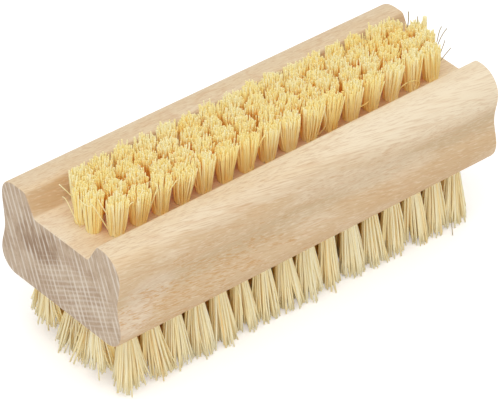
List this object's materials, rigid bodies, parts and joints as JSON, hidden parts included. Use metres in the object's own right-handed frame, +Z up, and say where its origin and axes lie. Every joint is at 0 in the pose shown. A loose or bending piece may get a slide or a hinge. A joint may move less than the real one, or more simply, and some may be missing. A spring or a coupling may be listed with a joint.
{
  "type": "nail brush",
  "caption": "Two-sided nail brush: a shaped wooden body with a channel between two rails, fibre tufts standing in the channel and a wider, flared tuft field underneath.",
  "frame": {"origin": "centre of the footprint on the plane of the lower tips", "axes": "+X along the brush towards the end where the upper tufts stand closer to the edge, +Y across it, +Z up out of the channel"},
  "size_m": [0.095, 0.036, 0.0384],
  "materials": {
    "wood": "bare hardwood, fine sanded, untreated",
    "fibre": "pale yellow plant fibre, dull",
    "wire": "drawn flat wire"
  },
  "bodies": {
    "root": {"body": "wood", "upper_tufts_row_1": "fibre", "upper_tufts_row_2": "fibre", "upper_tufts_row_3": "fibre", "upper_tufts_row_4": "fibre", "lower_tufts_row_1": "fibre", "lower_tufts_row_2": "fibre", "lower_tufts_row_3": "fibre", "lower_tufts_row_4": "fibre", "lower_tufts_row_5": "fibre", "lower_tufts_row_6": "fibre", "upper_anchors_row_1": "wire", "upper_anchors_row_2": "wire", "upper_anchors_row_3": "wire", "upper_anchors_row_4": "wire", "lower_anchors_row_1": "wire", "lower_anchors_row_2": "wire", "lower_anchors_row_3": "wire", "lower_anchors_row_4": "wire", "lower_anchors_row_5": "wire", "lower_anchors_row_6": "wire"}
  },
  "joints": []
}
